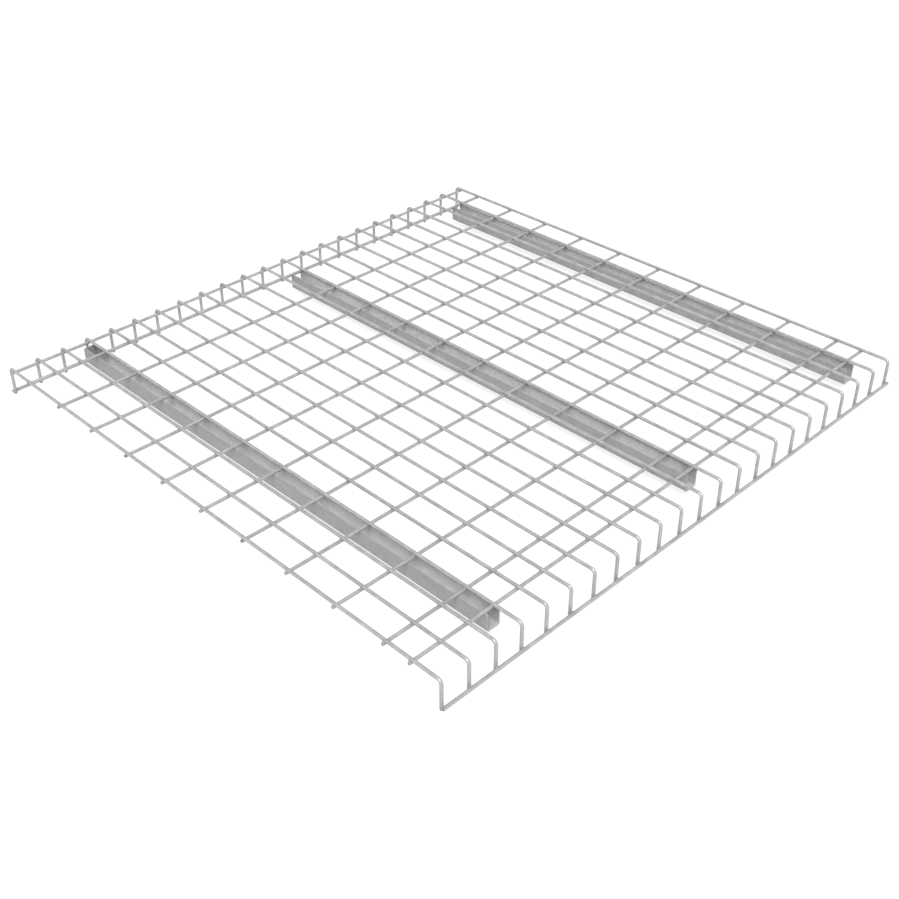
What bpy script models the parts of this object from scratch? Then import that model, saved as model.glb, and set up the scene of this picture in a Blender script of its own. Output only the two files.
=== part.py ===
"""Wire mesh rack deck: a welded grid of steel wires carried by three open channels.

Line wires run from front to back on top of the cross wires and bend down at both ends, so the
deck hooks over two rack beams. A rail wire ties the bent ends together at the front and at the
back. Three folded channels run under the cross wires and rest on the beams between the ends.
The left one is longer than the others and closed by a plate at its back end.

Frame: metres, +X along the front edge, +Y from front to back, +Z up. The origin is the middle
of the footprint, on the level of the lowest wire ends.
"""

import math

import bmesh
import bpy

COLLECTION_NAME = "wire_mesh_rack_deck"

# Wire and welds. Neighbours at a weld keep WELD_GAP between their surfaces.
WIRE_DIAMETER = 0.0055
WELD_GAP = 0.0003

# Line wires, from left to right.
LINE_WIRES = 23
LINE_PITCH = 0.050
BEND_RADIUS = 0.007
BEND_STEPS = 4
DROP_LENGTH = 0.051

# Spacing from front to back: drop, cross wire, half cell, nine full cells, last cell, drop.
FRONT_OVERHANG = 0.055
FRONT_CELL = 0.050
FULL_CELLS = 9
CROSS_PITCH = 0.100
BACK_CELL = 0.052
BACK_OVERHANG = 0.0095
CROSS_WIRE_STUB = 0.0055

# Rail wires on the outer side of the bent ends, measured down from the line wires.
FRONT_RAIL_DROP = 0.045
BACK_RAIL_DROP = 0.0482

# Support channels: open at the top.
CHANNEL_WIDTH = 0.024
CHANNEL_DEPTH = 0.0295
CHANNEL_SHEET = 0.0015
CHANNEL_FOLD_RADIUS = 0.003
CHANNEL_FOLD_STEPS = 3

# Where each channel lies: distance from the leftmost line wire, how far it reaches in front of
# the first cross wire, and how far it reaches behind the last cross wire but one.
CHANNEL_PLACES = {
    "support_channel_left": (0.1465, 0.007, 0.042),
    "support_channel_centre": (0.5930, 0.007, 0.007),
    "support_channel_right": (1.0445, 0.014, 0.007),
}

# End plate that closes the back end of the left channel and stands out round its section.
PLATED_CHANNEL = "support_channel_left"
PLATE_SHEET = 0.0015
PLATE_BORDER = 0.0015
PLATE_CORNER_RADIUS = 0.004
PLATE_CORNER_STEPS = 4

# Worked out from the sizes above.
WIRE_RADIUS = WIRE_DIAMETER / 2
DECK_WIDTH = (LINE_WIRES - 1) * LINE_PITCH
DROP_SPACING = (
    FRONT_OVERHANG + FRONT_CELL + FULL_CELLS * CROSS_PITCH + BACK_CELL + BACK_OVERHANG
)
LEFT_LINE_X = -DECK_WIDTH / 2
FRONT_DROP_Y = -DROP_SPACING / 2
BACK_DROP_Y = DROP_SPACING / 2
LINE_Z = DROP_LENGTH
CROSS_Z = LINE_Z - WIRE_DIAMETER - WELD_GAP
CHANNEL_TOP_Z = CROSS_Z - WIRE_RADIUS - WELD_GAP


def clear_scene():
    for old in list(bpy.data.objects):
        bpy.data.objects.remove(old, do_unlink=True)


def make_collection(name):
    collection = bpy.data.collections.new(name)
    bpy.context.scene.collection.children.link(collection)
    return collection


def make_material(name, colour, roughness, metallic):
    material = bpy.data.materials.new(name)
    material.use_nodes = True
    shader = material.node_tree.nodes["Principled BSDF"]
    shader.inputs["Base Color"].default_value = (*colour, 1.0)
    shader.inputs["Roughness"].default_value = roughness
    shader.inputs["Metallic"].default_value = metallic
    return material


def wire_curve(name, points, material):
    """A round wire along straight stretches between the points."""
    curve = bpy.data.curves.new(name, "CURVE")
    curve.dimensions = "3D"
    curve.bevel_depth = WIRE_RADIUS
    curve.bevel_resolution = 2
    curve.use_fill_caps = True
    spline = curve.splines.new("POLY")
    spline.points.add(len(points) - 1)
    for spline_point, point in zip(spline.points, points):
        spline_point.co = (*point, 1.0)
    curve.materials.append(material)
    return curve


def place(name, data, collection, location):
    piece = bpy.data.objects.new(name, data)
    piece.location = location
    collection.objects.link(piece)
    return piece


def bend_points(drop_y, inward):
    """Points of one bend, from the end of the drop to the start of the flat stretch."""
    points = []
    for step in range(BEND_STEPS + 1):
        angle = math.radians(90) * step / BEND_STEPS
        y = drop_y + inward * BEND_RADIUS * (1 - math.cos(angle))
        z = LINE_Z - BEND_RADIUS * (1 - math.sin(angle))
        points.append((0.0, y, z))
    return points


def line_wire_points():
    front = [(0.0, FRONT_DROP_Y, 0.0)] + bend_points(FRONT_DROP_Y, 1)
    back = [(0.0, BACK_DROP_Y, 0.0)] + bend_points(BACK_DROP_Y, -1)
    return front + back[::-1]


def cross_wire_places():
    """Y of every cross wire, from the front to the back."""
    first = FRONT_DROP_Y + FRONT_OVERHANG
    second = first + FRONT_CELL
    full = [second + cell * CROSS_PITCH for cell in range(FULL_CELLS + 1)]
    return [first] + full + [full[-1] + BACK_CELL]


def add_line_wires(collection, material):
    curve = wire_curve("line_wire", line_wire_points(), material)
    for number in range(LINE_WIRES):
        x = LEFT_LINE_X + number * LINE_PITCH
        place(f"line_wire_{number + 1:02d}", curve, collection, (x, 0.0, 0.0))


def add_cross_wires(collection, material):
    reach = DECK_WIDTH / 2 + CROSS_WIRE_STUB
    curve = wire_curve("cross_wire", [(-reach, 0.0, 0.0), (reach, 0.0, 0.0)], material)
    for number, y in enumerate(cross_wire_places()):
        place(f"cross_wire_{number + 1:02d}", curve, collection, (0.0, y, CROSS_Z))


def add_rail_wires(collection, material):
    """The two rails end flush with the outer sides of the outermost line wires."""
    reach = DECK_WIDTH / 2 + WIRE_RADIUS
    offset = WIRE_DIAMETER + WELD_GAP
    curve = wire_curve("rail_wire", [(-reach, 0.0, 0.0), (reach, 0.0, 0.0)], material)
    front = (0.0, FRONT_DROP_Y - offset, LINE_Z - FRONT_RAIL_DROP)
    back = (0.0, BACK_DROP_Y + offset, LINE_Z - BACK_RAIL_DROP)
    place("front_rail_wire", curve, collection, front)
    place("back_rail_wire", curve, collection, back)


def channel_outline():
    """Outer outline of the channel's section, from the left top edge round to the right one."""
    half = CHANNEL_WIDTH / 2
    bottom = -CHANNEL_DEPTH
    radius = CHANNEL_FOLD_RADIUS
    left_fold = []
    for step in range(CHANNEL_FOLD_STEPS + 1):
        angle = math.radians(90) * step / CHANNEL_FOLD_STEPS
        x = -half + radius * (1 - math.cos(angle))
        z = bottom + radius * (1 - math.sin(angle))
        left_fold.append((x, z))
    right_fold = [(-x, z) for x, z in reversed(left_fold)]
    return [(-half, 0.0)] + left_fold + right_fold + [(half, 0.0)]


def channel_mesh(length, material):
    """The outline drawn out along +Y as an open surface, with its faces turned outwards."""
    mesh = bpy.data.meshes.new("support_channel")
    builder = bmesh.new()
    corners = [builder.verts.new((x, 0.0, z)) for x, z in channel_outline()]
    edges = [builder.edges.new(pair) for pair in zip(corners, corners[1:])]
    drawn = bmesh.ops.extrude_edge_only(builder, edges=edges)["geom"]
    far_end = [item for item in drawn if isinstance(item, bmesh.types.BMVert)]
    bmesh.ops.translate(builder, verts=far_end, vec=(0.0, length, 0.0))
    # The faces were flat lines before the translation, so their normals are worked out now.
    builder.normal_update()
    left_wall = min(builder.faces, key=lambda face: face.calc_center_median().x)
    if left_wall.normal.x > 0:
        bmesh.ops.reverse_faces(builder, faces=builder.faces)
    builder.to_mesh(mesh)
    builder.free()
    mesh.materials.append(material)
    mesh.shade_smooth()
    mesh.set_sharp_from_angle(angle=math.radians(40))
    return mesh


def add_channels(collection, material):
    cross_places = cross_wire_places()
    for name, (distance, front_reach, back_reach) in CHANNEL_PLACES.items():
        front = cross_places[0] - front_reach
        back = cross_places[-2] + back_reach
        mesh = channel_mesh(back - front, material)
        location = (LEFT_LINE_X + distance, front, CHANNEL_TOP_Z)
        channel = place(name, mesh, collection, location)
        sheet = channel.modifiers.new("sheet", "SOLIDIFY")
        sheet.thickness = CHANNEL_SHEET
        sheet.offset = -1.0
        sheet.use_even_offset = True


def rounded_corner(centre, start_angle):
    """Points of a quarter circle round the centre, anticlockwise from the start angle."""
    points = []
    for step in range(PLATE_CORNER_STEPS + 1):
        angle = math.radians(start_angle + 90 * step / PLATE_CORNER_STEPS)
        x = centre[0] + PLATE_CORNER_RADIUS * math.cos(angle)
        y = centre[1] + PLATE_CORNER_RADIUS * math.sin(angle)
        points.append((x, y))
    return points


def end_plate_outline():
    """Rounded rectangle about the channel's section, with the channel's top edge at zero."""
    side = CHANNEL_WIDTH / 2 + PLATE_BORDER - PLATE_CORNER_RADIUS
    high = PLATE_BORDER - PLATE_CORNER_RADIUS
    low = -CHANNEL_DEPTH + PLATE_CORNER_RADIUS
    outline = rounded_corner((side, high), 0)
    outline += rounded_corner((-side, high), 90)
    outline += rounded_corner((-side, low), 180)
    outline += rounded_corner((side, low), 270)
    return outline


def add_end_plate(collection, material):
    """A flat plate drawn as an outline on its back and stood up behind the channel's end."""
    distance, _, back_reach = CHANNEL_PLACES[PLATED_CHANNEL]
    outline = end_plate_outline()
    curve = bpy.data.curves.new("channel_end_plate", "CURVE")
    curve.dimensions = "2D"
    curve.fill_mode = "BOTH"
    curve.extrude = PLATE_SHEET / 2
    spline = curve.splines.new("POLY")
    spline.points.add(len(outline) - 1)
    for spline_point, (x, y) in zip(spline.points, outline):
        spline_point.co = (x, y, 0.0, 1.0)
    spline.use_cyclic_u = True
    curve.materials.append(material)
    y = cross_wire_places()[-2] + back_reach + WELD_GAP + PLATE_SHEET / 2
    plate = place("channel_end_plate", curve, collection, (LEFT_LINE_X + distance, y, CHANNEL_TOP_Z))
    plate.rotation_euler = (math.radians(90), 0.0, 0.0)


def main():
    clear_scene()
    collection = make_collection(COLLECTION_NAME)
    wire_zinc = make_material("wire_zinc", (0.47, 0.475, 0.48), 0.42, 0.85)
    channel_zinc = make_material("channel_zinc", (0.40, 0.405, 0.41), 0.48, 0.80)
    add_line_wires(collection, wire_zinc)
    add_cross_wires(collection, wire_zinc)
    add_rail_wires(collection, wire_zinc)
    add_channels(collection, channel_zinc)
    add_end_plate(collection, channel_zinc)


main()
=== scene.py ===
"""Looks for the wire mesh rack deck: round wires with bends, cut ends and weld nuggets, folded
channels with rounded edges, and zinc-coated materials, on a pale floor in soft light."""

import math
import random

import bmesh
import bpy
import numpy as np
from mathutils import Matrix, Vector, noise


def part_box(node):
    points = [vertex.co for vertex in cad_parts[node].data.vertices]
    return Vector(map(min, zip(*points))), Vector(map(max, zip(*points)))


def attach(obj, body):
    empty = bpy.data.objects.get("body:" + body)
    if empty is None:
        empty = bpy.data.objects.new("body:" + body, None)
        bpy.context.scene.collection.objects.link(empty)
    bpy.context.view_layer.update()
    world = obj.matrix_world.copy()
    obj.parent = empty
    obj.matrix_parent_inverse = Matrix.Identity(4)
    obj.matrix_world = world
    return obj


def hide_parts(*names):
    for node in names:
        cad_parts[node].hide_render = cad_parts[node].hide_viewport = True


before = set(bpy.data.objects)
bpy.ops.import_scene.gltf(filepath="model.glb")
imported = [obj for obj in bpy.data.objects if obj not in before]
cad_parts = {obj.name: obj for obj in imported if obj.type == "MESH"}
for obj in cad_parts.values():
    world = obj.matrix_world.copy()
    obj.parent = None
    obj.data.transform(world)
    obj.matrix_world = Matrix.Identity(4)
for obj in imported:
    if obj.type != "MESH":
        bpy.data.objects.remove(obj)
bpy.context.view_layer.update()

MM = 0.001
BODY = "root"

# Material places on every piece that has a coat and cut ends.
COAT = 0
CUT = 1

# Shapes of the wire. Rings are close together at the welds, at these distances in millimetres.
WIRE_SIDES = 20
BEND_RADIUS = 7.0 * MM
BEND_STEPS = 10
DROP_STEPS = 4
LONG_STEP = 16 * MM
WELD_STEPS = (-9.0, -6.0, -4.0, -2.5, -1.0, 1.0, 2.5, 4.0, 6.0, 9.0)

# The wires are not quite straight: how far they stray, over what length, and how far apart
# neighbouring wires are in the noise.
WAVE = 0.25 * MM
WAVE_LENGTH = 0.30
WAVE_STRIDE = 1.37
WAVE_LAYER = 0.5

# Sheared wire ends. The radius and the leans are shares: of the wire's radius, and of the lean.
CUT_CHAMFER = 0.35 * MM
CUT_LEAN = 0.16
CUT_RIM_LEAN = 0.85
CUT_HOLLOW = 0.25 * MM
CUT_HOLLOW_RADIUS = 0.45
CUT_HOLLOW_LEAN = 0.4
MOST_TRIM = 0.8 * MM

# How deep welded pieces are set into each other.
CROSS_SINK = 0.7 * MM
RAIL_SINK = 0.5 * MM
CHANNEL_SINK = 0.25 * MM
PLATE_SINK = 0.2 * MM

# Shapes of the folded sheet. Support rings keep the shading of the flats even.
SHEET = 1.5 * MM
FOLD_RADIUS = 3.0 * MM
FOLD_STEPS = 8
EDGE_ROUND = 0.3 * MM
SUPPORT = 1.2 * MM
PLATE_CORNER = 4.0 * MM
PLATE_CORNER_STEPS = 8
PLATE_EDGE_STEPS = 3
SHARP_ANGLE = math.radians(50)
RIM_ANGLE = math.radians(60)
SORT_STEP = 0.001 * MM

# Wear of the sheet, from 0 to 1, whose light colour also paints an edge highlight, and how far
# from an open end the painted light on the sheet's inside fades in.
EDGE_WEAR_AND_HIGHLIGHT = 0.3
FOLD_WEAR = 0.6
PLATE_RIM_WEAR_AND_HIGHLIGHT = 0.9
OPEN_END = 45.0 * MM
OPEN_END_INNER_LIGHT = 0.3

# Weld nuggets: half sizes, how uneven they are, and how far the heat of a weld shows.
WIRE_NUGGET = (3.3 * MM, 3.3 * MM, 1.5 * MM)
CHANNEL_NUGGET = (1.9 * MM, 3.0 * MM, 1.5 * MM)
PLATE_NUGGET = (1.0 * MM, 1.1 * MM, 3.4 * MM)
PLATE_WELD_HEIGHTS = (0.3, 0.72)
NUGGET_VARIANTS = 7
NUGGET_UNEVEN = 0.16
NUGGET_LUMPS = 1.7
NUGGET_STRIDE = (3.7, 1.3)
NUGGET_LAYER = 5.0
NUGGET_GROWTH = (0.9, 1.08)
HEAT_REACH = 6.0 * MM

# Seeds of the random draws.
LINE_SEED = 100
CROSS_SEED = 200
FRONT_RAIL_SEED = 301
BACK_RAIL_SEED = 302
TRIM_SEED_STEP = 0.5
FRONT_RAIL_WELD_SEED = 55
BACK_RAIL_WELD_SEED = 54
CHANNEL_WELD_SEEDS = {
    "support_channel_left": 90,
    "support_channel_centre": 92,
    "support_channel_right": 91,
}
PLATE_WELD_SEED = 90

# Tones of the zinc coats, as ramp places and base colours.
WIRE_TONES = (
    (0.36, (0.305, 0.308, 0.311)), (0.50, (0.370, 0.373, 0.375)), (0.64, (0.440, 0.443, 0.443)),
)
# Outside tones of the sheet are darker, as painted shade; inside tones are lighter, as painted light.
# Together they even out the light on the channel walls.
OUTSIDE_PAINTED_SHADE_TONES = (
    (0.28, (0.248, 0.251, 0.253)), (0.50, (0.276, 0.279, 0.281)), (0.72, (0.305, 0.308, 0.310)),
)
INSIDE_PAINTED_LIGHT_TONES = (
    (0.28, (0.600, 0.603, 0.606)), (0.50, (0.645, 0.648, 0.650)), (0.72, (0.690, 0.693, 0.695)),
)
CUT_TONES = ((0.3, (0.23, 0.23, 0.229)), (0.7, (0.33, 0.33, 0.327)))
WELD_TONES = ((0.36, (0.22, 0.216, 0.212)), (0.62, (0.38, 0.378, 0.372)))
PIT_COLOUR = (0.22, 0.22, 0.22)
# Colour of rubbed zinc; on the top edges and the plate's rim it also paints a light edge highlight.
RUBBED_AND_HIGHLIGHT_COLOUR = (0.56, 0.56, 0.555)
SCUFF_COLOUR = (0.44, 0.44, 0.44)
RUST_COLOUR = (0.19, 0.17, 0.15)
WIRE_HEAT_COLOUR = (0.255, 0.252, 0.248)
SHEET_HEAT_COLOUR = (0.24, 0.238, 0.235)

# The camera stands to the left of the front edge and looks down across the deck. Its turns are
# heading, tilt and roll, in degrees.
CAMERA_PLACE = (-1.34938, -1.35231, 1.20124)
CAMERA_TURNS = (-44.844, 55.139, -0.124)
CAMERA_LENS = 51.08
CAMERA_SENSOR = 36.0
CAMERA_REACH = 1000.0

# Soft studio light: even surroundings that are darker overhead, and one key light 35 degrees
# wide. The horizon's light fades between two heights of the view direction.
HORIZON_STRENGTH = 1.05
OVERHEAD_SHARE = 0.55
HORIZON_TOP = 0.12
OVERHEAD_START = 0.45
KEY_FROM = (-0.40, -0.40, 0.82)
KEY_WIDTH = 35
KEY_STRENGTH = 3.9

# A pale floor that glows a little, wide enough to reach the horizon.
FLOOR_SIZE = 800.0
FLOOR_CELLS = 8
FLOOR_TONES = ((0.3, 0.19), (0.7, 0.21))
FLOOR_GLOW = 0.80


# ---------------------------------------------------------------- places from the frame

def centre_of(node):
    low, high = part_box(node)
    return (low + high) / 2


LINE_NODES = sorted(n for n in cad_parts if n.startswith("line_wire_"))
CROSS_NODES = sorted(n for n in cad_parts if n.startswith("cross_wire_"))
CHANNEL_NODES = ("support_channel_left", "support_channel_centre", "support_channel_right")

first_low, first_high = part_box(LINE_NODES[0])
cross_low, cross_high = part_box(CROSS_NODES[0])
RADIUS = (cross_high.z - cross_low.z) / 2
LINE_Z = first_high.z - RADIUS
FRONT_DROP_Y = first_low.y + RADIUS
BACK_DROP_Y = first_high.y - RADIUS
DROP_FOOT_Z = first_low.z
CROSS_Z = (cross_low.z + cross_high.z) / 2 + CROSS_SINK
LINE_X = [centre_of(n).x for n in LINE_NODES]
CROSS_Y = [centre_of(n).y for n in CROSS_NODES]


# ---------------------------------------------------------------- mesh helpers

def mesh_object(name, verts, faces, corner_uvs, materials, face_materials, **point_values):
    """A smooth mesh piece; each further keyword is a value for every point, read by materials."""
    mesh = bpy.data.meshes.new(name)
    mesh.from_pydata(verts, [], faces)
    layer = mesh.uv_layers.new(name="along")
    layer.data.foreach_set("uv", np.array(corner_uvs, dtype=np.float32).ravel())
    for material in materials:
        mesh.materials.append(material)
    mesh.polygons.foreach_set("material_index", np.array(face_materials, dtype=np.int32))
    mesh.shade_smooth()
    for label, values in point_values.items():
        attribute = mesh.attributes.new(label, "FLOAT", "POINT")
        attribute.data.foreach_set("value", np.array(values, dtype=np.float32))
    mesh.update()
    piece = bpy.data.objects.new(name, mesh)
    bpy.context.scene.collection.objects.link(piece)
    return piece


def finish_piece(piece, slot, *nodes):
    if nodes:
        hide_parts(*nodes)
    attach(piece, BODY)


def heat_at(point, welds):
    """1 at a weld, fading to 0 a few millimetres away."""
    nearest = min((point - weld).length for weld in welds)
    return math.exp(-(nearest / HEAT_REACH) ** 2)


def wire_stations(straight_length, weld_places):
    """Places along a straight stretch, close together at the welds."""
    places = set()
    count = max(1, round(straight_length / LONG_STEP))
    for step in range(count + 1):
        places.add(round(straight_length * step / count, 6))
    for weld in weld_places:
        for offset in WELD_STEPS:
            place = weld + offset * MM
            if 0 < place < straight_length:
                places.add(round(place, 6))
    return sorted(places)


class WireBuilder:
    """Collects the rings and faces of one wire. side is at right angles to its whole path."""

    def __init__(self, side, welds):
        self.side = side
        self.welds = welds
        self.verts = []
        self.heat = []
        self.faces = []
        self.uvs = []
        self.face_materials = []

    def ring(self, centre, tangent, radius, lean=0.0, lean_angle=0.0):
        """Adds a ring, tilted by lean at its edge, and returns its first vertex."""
        normal = tangent.cross(self.side)
        start = len(self.verts)
        for step in range(WIRE_SIDES):
            angle = math.tau * step / WIRE_SIDES
            out = math.cos(angle) * self.side + math.sin(angle) * normal
            slope = lean * math.cos(angle - lean_angle)
            point = centre + out * radius + tangent * slope
            self.verts.append(point)
            self.heat.append(heat_at(point, self.welds))
        return start

    def join(self, first, second, low, high, material):
        """Faces between two rings; low and high are their distances along the wire."""
        around = math.tau * RADIUS / WIRE_SIDES
        for step in range(WIRE_SIDES):
            turn = (step + 1) % WIRE_SIDES
            self.faces.append((second + step, second + turn, first + turn, first + step))
            self.uvs.extend([
                (step * around, high), ((step + 1) * around, high),
                ((step + 1) * around, low), (step * around, low),
            ])
            self.face_materials.append(material)

    def cap(self, ring, centre, tangent, outward, length, lean, lean_angle):
        """Chamfer, sheared face and a slightly hollow middle. outward is 1 or -1 along the path."""
        inner = self.ring(centre, tangent, RADIUS - CUT_CHAMFER, lean * CUT_RIM_LEAN, lean_angle)
        hollow_centre = centre - tangent * outward * CUT_HOLLOW
        hollow_radius = RADIUS * CUT_HOLLOW_RADIUS
        hollow = self.ring(hollow_centre, tangent, hollow_radius, lean * CUT_HOLLOW_LEAN, lean_angle)
        middle = len(self.verts)
        self.verts.append(hollow_centre)
        self.heat.append(0.0)
        for material, outer_ring, inner_ring in ((COAT, ring, inner), (CUT, inner, hollow)):
            if outward > 0:
                self.join(outer_ring, inner_ring, length, length + CUT_CHAMFER, material)
            else:
                self.join(inner_ring, outer_ring, length - CUT_CHAMFER, length, material)
        for step in range(WIRE_SIDES):
            turn = (step + 1) % WIRE_SIDES
            corners = (hollow + step, hollow + turn, middle)
            self.faces.append(corners[::-1] if outward > 0 else corners)
            self.uvs.extend([(0.0, length)] * 3)
            self.face_materials.append(CUT)


def tube(name, path, side, welds, materials, seed):
    """A round, slightly wavy wire along the path, with sheared ends."""
    rng = random.Random(seed)
    lengths = [0.0]
    for before, after in zip(path, path[1:]):
        lengths.append(lengths[-1] + (after - before).length)
    wavy = []
    for point, length in zip(path, lengths):
        place = Vector((length / WAVE_LENGTH, seed * WAVE_STRIDE, WAVE_LAYER))
        wavy.append(point + side * WAVE * noise.noise(place))
    last = len(wavy) - 1
    tangents = []
    for index in range(last + 1):
        before, after = wavy[max(0, index - 1)], wavy[min(last, index + 1)]
        tangents.append((after - before).normalized())
    lean = CUT_LEAN * RADIUS
    setback = CUT_CHAMFER + lean
    first_angle, last_angle = rng.uniform(0, math.tau), rng.uniform(0, math.tau)
    wire = WireBuilder(side, welds)
    start = wavy[0] + tangents[0] * setback
    stop = wavy[-1] - tangents[-1] * setback
    rings = [wire.ring(start, tangents[0], RADIUS, lean, first_angle)]
    for centre, tangent in zip(wavy[1:-1], tangents[1:-1]):
        rings.append(wire.ring(centre, tangent, RADIUS))
    rings.append(wire.ring(stop, tangents[-1], RADIUS, lean, last_angle))
    for index in range(last):
        wire.join(rings[index], rings[index + 1], lengths[index], lengths[index + 1], COAT)
    start = wavy[0] + tangents[0] * lean
    stop = wavy[-1] - tangents[-1] * lean
    wire.cap(rings[0], start, tangents[0], -1, 0.0, lean, first_angle)
    wire.cap(rings[-1], stop, tangents[-1], 1, lengths[-1], lean, last_angle)
    return mesh_object(
        name, wire.verts, wire.faces, wire.uvs, materials, wire.face_materials, weld_heat=wire.heat,
    )


# ---------------------------------------------------------------- material helpers

def new_material(name):
    material = bpy.data.materials.new(name)
    material.use_nodes = True
    tree = material.node_tree
    return material, tree, tree.nodes["Principled BSDF"]


def add_node(tree, kind, inputs=None, **settings):
    """A node with its settings; an input given as a socket is linked, anything else is a value."""
    made = tree.nodes.new(kind)
    for key, value in settings.items():
        setattr(made, key, value)
    for key, value in (inputs or {}).items():
        if isinstance(value, bpy.types.NodeSocket):
            tree.links.new(value, made.inputs[key])
        else:
            made.inputs[key].default_value = value
    return made


def object_place(tree):
    return add_node(tree, "ShaderNodeTexCoord").outputs["Object"]


def along_surface(tree, scale):
    """Texture place that follows the wire or sheet: across it first, then along it, in metres."""
    source = add_node(tree, "ShaderNodeUVMap", uv_map="along")
    mapping = add_node(tree, "ShaderNodeMapping", {"Vector": source.outputs[0], "Scale": scale})
    return mapping.outputs[0]


def point_value(tree, label):
    """A value that mesh_object stored for every point."""
    return add_node(tree, "ShaderNodeAttribute", attribute_name=label).outputs["Fac"]


def noise_texture(tree, vector, scale=1.0, detail=3.0, roughness=0.55, distortion=0.0):
    made = add_node(tree, "ShaderNodeTexNoise", {
        "Vector": vector, "Scale": scale, "Detail": detail,
        "Roughness": roughness, "Distortion": distortion,
    })
    return made.outputs["Fac"]


def ramp(tree, factor, stops):
    """Stops are (place, grey) or (place, colour)."""
    made = add_node(tree, "ShaderNodeValToRGB", {"Fac": factor})
    elements = made.color_ramp.elements
    while len(elements) < len(stops):
        elements.new(0.5)
    for element, (place, value) in zip(elements, stops):
        element.position = place
        colour = value if isinstance(value, tuple) else (value, value, value)
        element.color = (*colour, 1.0)
    return made.outputs["Color"]


def math_node(tree, operation, first, second):
    made = add_node(tree, "ShaderNodeMath", {0: first, 1: second}, operation=operation)
    return made.outputs[0]


def weighted_sum(tree, terms, constant=0.0):
    """The constant plus each term's value times its weight."""
    total = constant
    for value, weight in terms:
        made = add_node(tree, "ShaderNodeMath", {0: value, 1: weight, 2: total}, operation="MULTIPLY_ADD")
        total = made.outputs[0]
    return total


def mix_colour(tree, factor, first, second):
    made = add_node(tree, "ShaderNodeMix", {"Factor": factor}, data_type="RGBA", blend_type="MIX")
    for index, value in ((6, first), (7, second)):
        if isinstance(value, bpy.types.NodeSocket):
            tree.links.new(value, made.inputs[index])
        else:
            made.inputs[index].default_value = (*value, 1.0)
    return made.outputs[2]


def tint(tree, colour, towards, mask, strength):
    """The colour drawn towards another where the mask is 1, by no more than the strength."""
    return mix_colour(tree, math_node(tree, "MULTIPLY", mask, strength), colour, towards)


def bump(tree, height, strength, distance, below=None):
    inputs = {"Height": height, "Strength": strength, "Distance": distance}
    if below is not None:
        inputs["Normal"] = below
    return add_node(tree, "ShaderNodeBump", inputs).outputs[0]


def connect(tree, shader, colour, roughness, normal):
    tree.links.new(colour, shader.inputs["Base Color"])
    tree.links.new(roughness, shader.inputs["Roughness"])
    tree.links.new(normal, shader.inputs["Normal"])


# ---------------------------------------------------------------- materials

def zinc_wire_material():
    """Drawn wire under a thin zinc coat: streaks along it, soft blooms, pits, dull at the welds."""
    material, tree, shader = new_material("zinc_wire")
    place = object_place(tree)
    streaks = noise_texture(tree, along_surface(tree, (1100.0, 18.0, 1.0)), detail=4.0, roughness=0.6)
    blooms = noise_texture(tree, place, scale=55.0, detail=3.0, roughness=0.55, distortion=0.5)
    grain = noise_texture(tree, place, scale=1100.0, detail=2.0, roughness=0.6)
    spots = noise_texture(tree, place, scale=420.0, detail=2.0, roughness=0.5)
    pits = ramp(tree, spots, [(0.66, 0.0), (0.74, 1.0)])
    heat = point_value(tree, "weld_heat")
    colour = ramp(tree, weighted_sum(tree, [(streaks, 0.5), (blooms, 0.5)]), WIRE_TONES)
    colour = tint(tree, colour, PIT_COLOUR, pits, strength=0.4)
    colour = tint(tree, colour, WIRE_HEAT_COLOUR, heat, strength=0.62)
    roughness = weighted_sum(tree, [(blooms, 0.24), (heat, 0.14)], constant=0.32)
    fine = bump(tree, grain, strength=0.16, distance=0.10 * MM)
    drawn = bump(tree, streaks, strength=0.35, distance=0.16 * MM, below=fine)
    unpitted = math_node(tree, "SUBTRACT", 1.0, pits)
    pitted = bump(tree, unpitted, strength=0.25, distance=0.12 * MM, below=drawn)
    connect(tree, shader, colour, roughness, pitted)
    shader.inputs["Metallic"].default_value = 0.40
    shader.inputs["Specular IOR Level"].default_value = 0.12
    return material


def spangle_crystals(tree, place):
    """A different even value in each crystal of the galvanised sheet, with wavy borders."""
    warp = add_node(tree, "ShaderNodeTexNoise", {"Vector": place, "Scale": 160.0}).outputs["Color"]
    reach = (6.0 * MM, 6.0 * MM, 6.0 * MM)
    warped = add_node(tree, "ShaderNodeVectorMath", {0: warp, 1: reach, 2: place}, operation="MULTIPLY_ADD")
    cells = add_node(tree, "ShaderNodeTexVoronoi", {"Vector": warped.outputs[0], "Scale": 130.0})
    return add_node(tree, "ShaderNodeSeparateColor", {0: cells.outputs["Color"]}).outputs[0]


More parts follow.
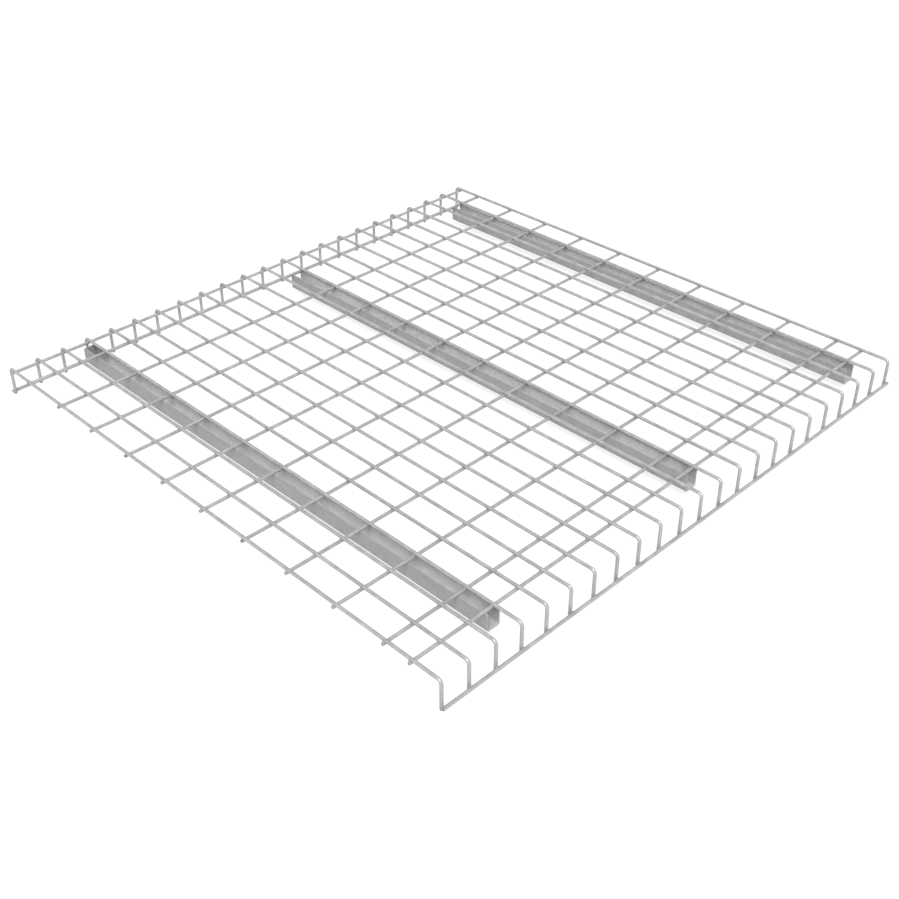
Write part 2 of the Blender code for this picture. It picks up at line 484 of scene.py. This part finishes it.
def zinc_sheet_material():
    """Galvanised sheet: spangle, roll lines and pits, with painted light on the inside and painted shade on
    the outside, and bright on worn edges, whose light colour also paints an edge highlight.
    """
    material, tree, shader = new_material("zinc_sheet")
    place = object_place(tree)
    crystal = spangle_crystals(tree, place)
    lines = noise_texture(tree, along_surface(tree, (1500.0, 4.0, 1.0)), detail=3.0, roughness=0.6)
    patches = noise_texture(tree, place, scale=16.0, detail=4.0, roughness=0.55, distortion=0.6)
    grain = noise_texture(tree, place, scale=1200.0, detail=2.0, roughness=0.6)
    marks = noise_texture(tree, along_surface(tree, (260.0, 30.0, 1.0)), detail=4.0, roughness=0.65)
    scuffs = ramp(tree, marks, [(0.60, 0.0), (0.72, 1.0)])
    heat = point_value(tree, "weld_heat")
    tone = weighted_sum(tree, [(crystal, 0.34), (patches, 0.38), (lines, 0.28)])
    # Painted shade on the outside, painted light on the inside: two tones of one coat, mixed by the value
    # stored for the inside.
    outside_shaded, inside_lit = ramp(tree, tone, OUTSIDE_PAINTED_SHADE_TONES), ramp(tree, tone, INSIDE_PAINTED_LIGHT_TONES)
    colour = mix_colour(tree, point_value(tree, "sheltered"), outside_shaded, inside_lit)
    # Rubbed wear lightens edges, ends and folds; on the top edges and the plate's rim this light colour also
    # paints an edge highlight.
    uneven = math_node(tree, "ADD", patches, 0.15)
    rubbed_and_highlight = math_node(tree, "MULTIPLY", point_value(tree, "worn"), uneven)
    colour = mix_colour(tree, rubbed_and_highlight, colour, RUBBED_AND_HIGHLIGHT_COLOUR)
    colour = tint(tree, colour, SCUFF_COLOUR, scuffs, strength=0.20)
    colour = tint(tree, colour, SHEET_HEAT_COLOUR, heat, strength=0.28)
    roughness = weighted_sum(tree, [(crystal, 0.14), (patches, 0.12), (rubbed_and_highlight, -0.12)], constant=0.36)
    fine = bump(tree, grain, strength=0.12, distance=0.09 * MM)
    rolled = bump(tree, lines, strength=0.16, distance=0.12 * MM, below=fine)
    raised = bump(tree, crystal, strength=0.08, distance=0.10 * MM, below=rolled)
    connect(tree, shader, colour, roughness, raised)
    shader.inputs["Metallic"].default_value = 0.20
    shader.inputs["Specular IOR Level"].default_value = 0.15
    return material


def cut_steel_material():
    """Sheared end faces: coarse, with shear lines and a trace of rust."""
    material, tree, shader = new_material("cut_steel")
    place = object_place(tree)
    stretched = add_node(tree, "ShaderNodeMapping", {"Vector": place, "Scale": (1200.0, 1200.0, 200.0)})
    shear = noise_texture(tree, stretched.outputs[0], detail=3.0, roughness=0.6)
    spots = noise_texture(tree, place, scale=500.0, detail=3.0, roughness=0.6)
    rust = ramp(tree, spots, [(0.58, 0.0), (0.72, 1.0)])
    colour = tint(tree, ramp(tree, shear, CUT_TONES), RUST_COLOUR, rust, strength=0.35)
    roughness = weighted_sum(tree, [(shear, 0.2)], constant=0.42)
    connect(tree, shader, colour, roughness, bump(tree, shear, strength=0.4, distance=0.15 * MM))
    shader.inputs["Metallic"].default_value = 0.45
    return material


def weld_material():
    """Fused metal of the nuggets: lumpy, duller and slightly darker than the coat."""
    material, tree, shader = new_material("weld_metal")
    place = object_place(tree)
    lumps = noise_texture(tree, place, scale=700.0, detail=3.0, roughness=0.6)
    patches = noise_texture(tree, place, scale=110.0, detail=2.0, roughness=0.5)
    colour = ramp(tree, weighted_sum(tree, [(lumps, 0.5), (patches, 0.5)]), WELD_TONES)
    roughness = weighted_sum(tree, [(lumps, 0.25)], constant=0.42)
    connect(tree, shader, colour, roughness, bump(tree, lumps, strength=0.5, distance=0.3 * MM))
    shader.inputs["Metallic"].default_value = 0.45
    shader.inputs["Specular IOR Level"].default_value = 0.25
    return material


# ---------------------------------------------------------------- wires

def drop_points(drop_y, inward):
    """From the foot of one bent end up to where the wire lies flat."""
    corner_z = LINE_Z - BEND_RADIUS
    points = []
    for step in range(DROP_STEPS):
        z = DROP_FOOT_Z + (corner_z - DROP_FOOT_Z) * step / DROP_STEPS
        points.append(Vector((0, drop_y, z)))
    for step in range(BEND_STEPS + 1):
        angle = math.radians(90) * step / BEND_STEPS
        y = drop_y + inward * BEND_RADIUS * (1 - math.cos(angle))
        z = corner_z + BEND_RADIUS * math.sin(angle)
        points.append(Vector((0, y, z)))
    return points


def line_wire_path():
    """Path of a line wire at x = 0, from the front foot to the back foot."""
    front = drop_points(FRONT_DROP_Y, 1)
    back = drop_points(BACK_DROP_Y, -1)
    start, stop = front[-1].y, back[-1].y
    welds = [y - start for y in CROSS_Y]
    flat = [Vector((0, start + s, LINE_Z)) for s in wire_stations(stop - start, welds)]
    return front[:-1] + flat + back[::-1][1:]


def add_line_wires(materials):
    path = line_wire_path()
    front_rail_z, back_rail_z = centre_of("front_rail_wire").z, centre_of("back_rail_wire").z
    welds = [Vector((0, y, LINE_Z - RADIUS)) for y in CROSS_Y]
    welds.append(Vector((0, FRONT_DROP_Y - RADIUS, front_rail_z)))
    welds.append(Vector((0, BACK_DROP_Y + RADIUS, back_rail_z)))
    for number, (node, x) in enumerate(zip(LINE_NODES, LINE_X)):
        shift = Vector((x, 0, 0))
        piece = tube(
            f"wire_{node}", [p + shift for p in path], Vector((1, 0, 0)),
            [w + shift for w in welds], materials, LINE_SEED + number,
        )
        finish_piece(piece, "wire_zinc", node)


def add_straight_wire(node, y, z, weld_side, materials, seed):
    """A wire along X at y and z, with its ends trimmed a little at random."""
    low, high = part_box(node)
    rng = random.Random(seed + TRIM_SEED_STEP)
    start = low.x + rng.uniform(0, MOST_TRIM)
    stop = high.x - rng.uniform(0, MOST_TRIM)
    stations = wire_stations(stop - start, [x - start for x in LINE_X])
    path = [Vector((start + s, y, z)) for s in stations]
    welds = [Vector((x, y, z)) + weld_side * RADIUS for x in LINE_X]
    piece = tube(f"wire_{node}", path, Vector((0, 1, 0)), welds, materials, seed)
    finish_piece(piece, "wire_zinc", node)


def add_cross_wires(materials):
    for number, (node, y) in enumerate(zip(CROSS_NODES, CROSS_Y)):
        add_straight_wire(node, y, CROSS_Z, Vector((0, 0, 1)), materials, CROSS_SEED + number)


def add_rails(materials):
    """Rails pressed a little into the bent ends that they are welded to."""
    for node, inward, seed in (
        ("front_rail_wire", 1, FRONT_RAIL_SEED), ("back_rail_wire", -1, BACK_RAIL_SEED),
    ):
        centre = centre_of(node)
        y = centre.y + inward * RAIL_SINK
        add_straight_wire(node, y, centre.z, Vector((0, inward, 0)), materials, seed)


# ---------------------------------------------------------------- channels

def folded_side(left, right, bottom, top, radius):
    """One side of the sheet, from the left wall's top down and round to the right wall's top."""
    points = [(left, top - SUPPORT), (left, bottom + radius + SUPPORT)]
    for centre_x, start in ((left + radius, 180), (right - radius, 270)):
        for step in range(FOLD_STEPS + 1):
            angle = math.radians(start + 90 * step / FOLD_STEPS)
            x = centre_x + radius * math.cos(angle)
            z = bottom + radius + radius * math.sin(angle)
            points.append((x, z))
        if start == 180:
            points.append((left + radius + SUPPORT, bottom))
            points.append((right - radius - SUPPORT, bottom))
    return points + [(right, bottom + radius + SUPPORT), (right, top - SUPPORT)]


def channel_section(left, right, bottom, top):
    """Closed outline of the folded sheet, as (points, painted inside light, wear with painted edge
    highlight).

    It starts at the left wall's top edge and runs down the outer side, across the right wall's top
    edge and back along the inner side, which gets painted light against the shade inside the
    channel. Edges and outer folds are worn; on the top edges the light wear also paints an edge
    highlight.
    """
    e = EDGE_ROUND
    outer = folded_side(left, right, bottom, top, FOLD_RADIUS)
    inner = folded_side(left + SHEET, right - SHEET, bottom + SHEET, top, FOLD_RADIUS - SHEET)
    left_edge = [(left + SHEET, top - e), (left + SHEET - e, top), (left + e, top), (left, top - e)]
    right_edge = [(right, top - e), (right - e, top), (right - SHEET + e, top), (right - SHEET, top - e)]
    fold_top = bottom + SHEET / 2
    outer_wear = [FOLD_WEAR if fold_top > z > bottom + e else 0.0 for x, z in outer]
    points = left_edge + outer + right_edge + inner[::-1]
    # Top edges carry wear whose light colour also paints an edge highlight.
    worn = [EDGE_WEAR_AND_HIGHLIGHT] * 4 + outer_wear + [EDGE_WEAR_AND_HIGHLIGHT] * 4 + [0.0] * len(inner)
    sheltered = [1.0, 0.0, 0.0, 0.0] + [0.0] * len(outer) + [0.0, 0.0, 0.0, 1.0] + [1.0] * len(inner)
    return points, sheltered, worn


def inset_section(points, amount):
    """The same outline drawn in towards the middle of the sheet."""
    inset = []
    count = len(points)
    for index, (x, z) in enumerate(points):
        before, after = points[index - 1], points[(index + 1) % count]
        along = Vector((after[0] - before[0], after[1] - before[1])).normalized()
        inset.append((x - along.y * amount, z + along.x * amount))
    return inset


def sheet_faces(rings, around):
    """Faces and texture places between neighbouring rings, given as (first vertex, distance)."""
    count = len(around) - 1
    faces, uvs = [], []
    for (first, v0), (second, v1) in zip(rings, rings[1:]):
        for step in range(count):
            turn = (step + 1) % count
            faces.append((first + step, second + step, second + turn, first + turn))
            u0, u1 = around[step], around[step + 1]
            uvs.extend([(u0, v0), (u0, v1), (u1, v1), (u1, v0)])
    return faces, uvs


def end_faces(ring, distance, count):
    """Strip across the thickness of the sheet at one end: outer points paired with inner ones."""
    pairs = [((2 + step) % count, (1 - step) % count) for step in range(count // 2)]
    faces, uvs = [], []
    for (outer, inner), (next_outer, next_inner) in zip(pairs, pairs[1:]):
        faces.append((ring + outer, ring + next_outer, ring + next_inner, ring + inner))
        uvs.extend([(0.0, distance)] * 4)
    return faces, uvs


def outline_distances(points):
    """Distance round the closed outline to each point, and back to the first."""
    distances = [0.0]
    for (ax, az), (bx, bz) in zip(points, points[1:] + points[:1]):
        distances.append(distances[-1] + math.hypot(bx - ax, bz - az))
    return distances


def channel_crossings(node):
    low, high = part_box(node)
    return [y for y in CROSS_Y if low.y < y < high.y]


def channel_top():
    return CROSS_Z - RADIUS + CHANNEL_SINK


def channel_weld_places(node):
    """Where the cross wires are welded to the top edges of both walls."""
    low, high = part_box(node)
    places = []
    for y in channel_crossings(node):
        places.append(Vector((low.x + SHEET / 2, y, channel_top())))
        places.append(Vector((high.x - SHEET / 2, y, channel_top())))
    return places


def channel_stations(node):
    """Distances of the full-size rings from the channel's front end."""
    low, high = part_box(node)
    length = high.y - low.y
    stations = wire_stations(length, [y - low.y for y in channel_crossings(node)])
    inside = [s for s in stations if SUPPORT < s < length - SUPPORT]
    return [EDGE_ROUND, SUPPORT] + inside + [length - SUPPORT, length - EDGE_ROUND]


def inner_light_at(y, low_y, high_y):
    """Share of the painted light on the sheet's inside: least at an open end, which real light reaches,
    rising to 1 further in.
    """
    share = min(1.0, (y - low_y) / OPEN_END, (high_y - y) / OPEN_END)
    return OPEN_END_INNER_LIGHT + (1 - OPEN_END_INNER_LIGHT) * share * share * (3 - 2 * share)


def turn_faces_out(mesh):
    bm = bmesh.new()
    bm.from_mesh(mesh)
    bmesh.ops.recalc_face_normals(bm, faces=bm.faces)
    bm.to_mesh(mesh)
    bm.free()


def add_channel(node, materials):
    """Folded channel with rounded edges, as rings of the section along Y."""
    low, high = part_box(node)
    length = high.y - low.y
    section, sheltered_row, worn_row = channel_section(low.x, high.x, low.z, channel_top())
    smaller = inset_section(section, EDGE_ROUND)
    welds = channel_weld_places(node)
    verts, heat, sheltered, worn = [], [], [], []

    def add_ring(points, y, least_wear_and_highlight):
        start = len(verts)
        for x, z in points:
            point = Vector((x, y, z))
            verts.append(point)
            heat.append(heat_at(point, welds))
        # The inside gets painted light, less of it near the open ends.
        sheltered.extend(value * inner_light_at(y, low.y, high.y) for value in sheltered_row)
        worn.extend(max(value, least_wear_and_highlight) for value in worn_row)
        return start

    stations = channel_stations(node)
    rings = [(add_ring(smaller, low.y, EDGE_WEAR_AND_HIGHLIGHT), 0.0)]
    for s in stations:
        end_wear_and_highlight = EDGE_WEAR_AND_HIGHLIGHT if s in (stations[0], stations[-1]) else 0.0
        rings.append((add_ring(section, low.y + s, end_wear_and_highlight), s))
    rings.append((add_ring(smaller, high.y, EDGE_WEAR_AND_HIGHLIGHT), length))
    side_faces, side_uvs = sheet_faces(rings, outline_distances(section))
    near_faces, near_uvs = end_faces(rings[0][0], 0.0, len(section))
    far_faces, far_uvs = end_faces(rings[-1][0], length, len(section))
    faces = side_faces + near_faces + [face[::-1] for face in far_faces]
    face_materials = [COAT] * len(side_faces) + [CUT] * (len(near_faces) + len(far_faces))
    piece = mesh_object(
        f"sheet_{node}", verts, faces, side_uvs + near_uvs + far_uvs, materials, face_materials,
        weld_heat=heat, sheltered=sheltered, worn=worn,
    )
    turn_faces_out(piece.data)
    piece.data.set_sharp_from_angle(angle=SHARP_ANGLE)
    finish_piece(piece, "channel_zinc", node)


def rounded_rectangle(low, high, radius, steps):
    """Outline between two corners of a box, as (x, z) points."""
    outline = []
    centres = (
        (high.x - radius, high.z - radius, 0), (low.x + radius, high.z - radius, 90),
        (low.x + radius, low.z + radius, 180), (high.x - radius, low.z + radius, 270),
    )
    for centre_x, centre_z, start in centres:
        for step in range(steps + 1):
            angle = math.radians(start + 90 * step / steps)
            x = centre_x + radius * math.cos(angle)
            z = centre_z + radius * math.sin(angle)
            outline.append((x, z))
    return outline


def sorted_mesh(bm):
    """Vertices and faces in order of place, because bmesh's own order changes from run to run."""
    order = sorted(bm.verts, key=lambda vert: [round(value / SORT_STEP) for value in vert.co])
    number = {vert: index for index, vert in enumerate(order)}
    faces = []
    for face in bm.faces:
        corners = [number[vert] for vert in face.verts]
        first = corners.index(min(corners))
        faces.append(corners[first:] + corners[:first])
    return [vert.co.copy() for vert in order], sorted(faces)


def add_end_plate(materials):
    """Plate over the left channel's back end, with rounded corners and softened edges."""
    node = "channel_end_plate"
    low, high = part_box(node)
    middle = (low + high) / 2
    outline = rounded_rectangle(low, high, PLATE_CORNER, PLATE_CORNER_STEPS)
    bm = bmesh.new()
    front = bm.faces.new([bm.verts.new((x, low.y, z)) for x, z in outline])
    made = bmesh.ops.extrude_face_region(bm, geom=[front])
    moved = [g for g in made["geom"] if isinstance(g, bmesh.types.BMVert)]
    bmesh.ops.translate(bm, verts=moved, vec=(0, high.y - low.y, 0))
    bmesh.ops.recalc_face_normals(bm, faces=bm.faces)
    rims = [edge for edge in bm.edges if edge.calc_face_angle(0) > RIM_ANGLE]
    bmesh.ops.bevel(bm, geom=rims, offset=EDGE_ROUND, segments=PLATE_EDGE_STEPS, profile=0.5, affect="EDGES")
    broad = sorted(bm.faces, key=lambda face: face.calc_area())[-2:]
    bmesh.ops.inset_individual(bm, faces=broad, thickness=SUPPORT)
    verts, faces = sorted_mesh(bm)
    bm.free()
    uvs = [(verts[i].x - middle.x, verts[i].z - middle.z) for face in faces for i in face]
    # The plate's rim is worn light, which also paints a rim highlight.
    border = SHEET / 2
    rim_wear_and_highlight = []
    for vert in verts:
        inside_x = low.x + border < vert.x < high.x - border
        inside_z = low.z + border < vert.z < high.z - border
        rim_wear_and_highlight.append(0.0 if inside_x and inside_z else PLATE_RIM_WEAR_AND_HIGHLIGHT)
    name = f"sheet_{node}"
    piece = mesh_object(name, verts, faces, uvs, materials, [COAT] * len(faces), worn=rim_wear_and_highlight)
    piece.data.set_sharp_from_angle(angle=SHARP_ANGLE)
    finish_piece(piece, "channel_zinc", node)


# ---------------------------------------------------------------- welds

def nugget_shapes():
    """A few uneven blobs of half size 1, as (vertices, faces)."""
    shapes = []
    for variant in range(NUGGET_VARIANTS):
        bm = bmesh.new()
        bmesh.ops.create_icosphere(bm, subdivisions=2, radius=1.0)
        offset = Vector((variant * NUGGET_STRIDE[0], variant * NUGGET_STRIDE[1], NUGGET_LAYER))
        for vert in bm.verts:
            lump = noise.noise(vert.co * NUGGET_LUMPS + offset)
            vert.co *= 1.0 + NUGGET_UNEVEN * lump
        verts = np.array([v.co[:] for v in bm.verts])
        faces = np.array([[v.index for v in f.verts] for f in bm.faces])
        bm.free()
        shapes.append((verts, faces))
    return shapes


def add_welds(name, places, size, shapes, material, slot, seed):
    """One piece with a nugget of the given half sizes at each place, each turned at random."""
    rng = random.Random(seed)
    verts, faces = [], []
    total = 0
    for place in places:
        shape_verts, shape_faces = shapes[rng.randrange(len(shapes))]
        turn = rng.uniform(0, math.tau)
        grow = rng.uniform(*NUGGET_GROWTH)
        spin = np.array([
            [math.cos(turn), -math.sin(turn), 0],
            [math.sin(turn), math.cos(turn), 0],
            [0, 0, 1],
        ])
        points = (shape_verts @ spin.T) * np.array(size) * grow + np.array(place)
        verts.append(points)
        faces.append(shape_faces + total)
        total += len(points)
    verts, faces = np.concatenate(verts), np.concatenate(faces)
    uvs = verts[faces.ravel()][:, :2]
    piece = mesh_object(name, verts.tolist(), faces.tolist(), uvs, [material], [COAT] * len(faces))
    finish_piece(piece, slot)


def add_crossing_welds(shapes, material):
    """Nuggets where the line wires cross each cross wire, midway between their centres."""
    contact_z = (LINE_Z + CROSS_Z) / 2
    for number, y in enumerate(CROSS_Y):
        places = [(x, y, contact_z) for x in LINE_X]
        name = f"welds_cross_wire_{number + 1:02d}"
        add_welds(name, places, WIRE_NUGGET, shapes, material, "wire_zinc", number)


def add_rail_welds(shapes, material):
    """Nuggets between the rails and the bent ends, kept above the floor."""
    largest = NUGGET_GROWTH[1] * (1 + NUGGET_UNEVEN)
    for end, drop_y, seed in (
        ("front", FRONT_DROP_Y, FRONT_RAIL_WELD_SEED), ("back", BACK_DROP_Y, BACK_RAIL_WELD_SEED),
    ):
        rail = centre_of(f"{end}_rail_wire")
        half_width, half_height, half_depth = WIRE_NUGGET
        size = (half_width, half_depth, min(half_height, rail.z / largest))
        places = [(x, (rail.y + drop_y) / 2, rail.z) for x in LINE_X]
        add_welds(f"welds_{end}_rail", places, size, shapes, material, "wire_zinc", seed)


def add_channel_welds(shapes, material):
    for node in CHANNEL_NODES:
        places = channel_weld_places(node)
        seed = CHANNEL_WELD_SEEDS[node]
        add_welds(f"welds_{node}", places, CHANNEL_NUGGET, shapes, material, "channel_zinc", seed)


def add_plate_welds(shapes, material):
    """Nuggets on both sides of the left channel, where the end plate is tacked on."""
    low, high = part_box("support_channel_left")
    heights = [low.z + (high.z - low.z) * share for share in PLATE_WELD_HEIGHTS]
    places = [(x, high.y - PLATE_SINK, z) for x in (low.x, high.x) for z in heights]
    name = "welds_channel_end_plate"
    add_welds(name, places, PLATE_NUGGET, shapes, material, "channel_zinc", PLATE_WELD_SEED)


# ---------------------------------------------------------------- stage, light and camera

def add_floor():
    bpy.ops.mesh.primitive_grid_add(x_subdivisions=FLOOR_CELLS, y_subdivisions=FLOOR_CELLS, size=FLOOR_SIZE)
    floor = bpy.context.object
    floor.name = "floor"
    material, tree, shader = new_material("pale_floor")
    mottle = noise_texture(tree, object_place(tree), scale=3.0, detail=3.0)
    tree.links.new(ramp(tree, mottle, FLOOR_TONES), shader.inputs["Base Color"])
    shader.inputs["Roughness"].default_value = 0.9
    shader.inputs["Specular IOR Level"].default_value = 0.1
    shader.inputs["Emission Color"].default_value = (1.0, 1.0, 1.0, 1.0)
    shader.inputs["Emission Strength"].default_value = FLOOR_GLOW
    floor.data.materials.append(material)


def add_light():
    """Even white surroundings and one wide soft light from above the camera's side."""
    world = bpy.data.worlds.new("soft_white")
    world.use_nodes = True
    tree = world.node_tree
    direction = add_node(tree, "ShaderNodeTexCoord").outputs["Generated"]
    height = add_node(tree, "ShaderNodeSeparateXYZ", {0: direction}).outputs["Z"]
    tone = ramp(tree, height, [(HORIZON_TOP, 1.0), (OVERHEAD_START, OVERHEAD_SHARE)])
    background = tree.nodes["Background"]
    tree.links.new(tone, background.inputs["Color"])
    background.inputs["Strength"].default_value = HORIZON_STRENGTH
    bpy.context.scene.world = world
    data = bpy.data.lights.new("key", "SUN")
    data.angle = math.radians(KEY_WIDTH)
    data.energy = KEY_STRENGTH
    key = bpy.data.objects.new("key", data)
    key.rotation_euler = (-Vector(KEY_FROM)).to_track_quat("-Z", "Y").to_euler()
    bpy.context.scene.collection.objects.link(key)


def add_camera():
    data = bpy.data.cameras.new("camera")
    data.sensor_width = CAMERA_SENSOR
    data.lens = CAMERA_LENS
    data.clip_end = CAMERA_REACH
    camera = bpy.data.objects.new("camera", data)
    heading, tilt, roll = (math.radians(turn) for turn in CAMERA_TURNS)
    turn = (
        Matrix.Rotation(heading, 4, "Z") @ Matrix.Rotation(tilt, 4, "X")
        @ Matrix.Rotation(roll, 4, "Z")
    )
    camera.matrix_world = Matrix.Translation(CAMERA_PLACE) @ turn
    bpy.context.scene.collection.objects.link(camera)
    bpy.context.scene.camera = camera


def main():
    wire, sheet = zinc_wire_material(), zinc_sheet_material()
    cut, weld = cut_steel_material(), weld_material()
    add_line_wires([wire, cut])
    add_cross_wires([wire, cut])
    add_rails([wire, cut])
    for node in CHANNEL_NODES:
        add_channel(node, [sheet, cut])
    add_end_plate([sheet, cut])
    shapes = nugget_shapes()
    add_crossing_welds(shapes, weld)
    add_rail_welds(shapes, weld)
    add_channel_welds(shapes, weld)
    add_plate_welds(shapes, weld)
    add_floor()
    add_light()
    add_camera()
    bpy.context.scene.view_settings.view_transform = "Standard"


main()
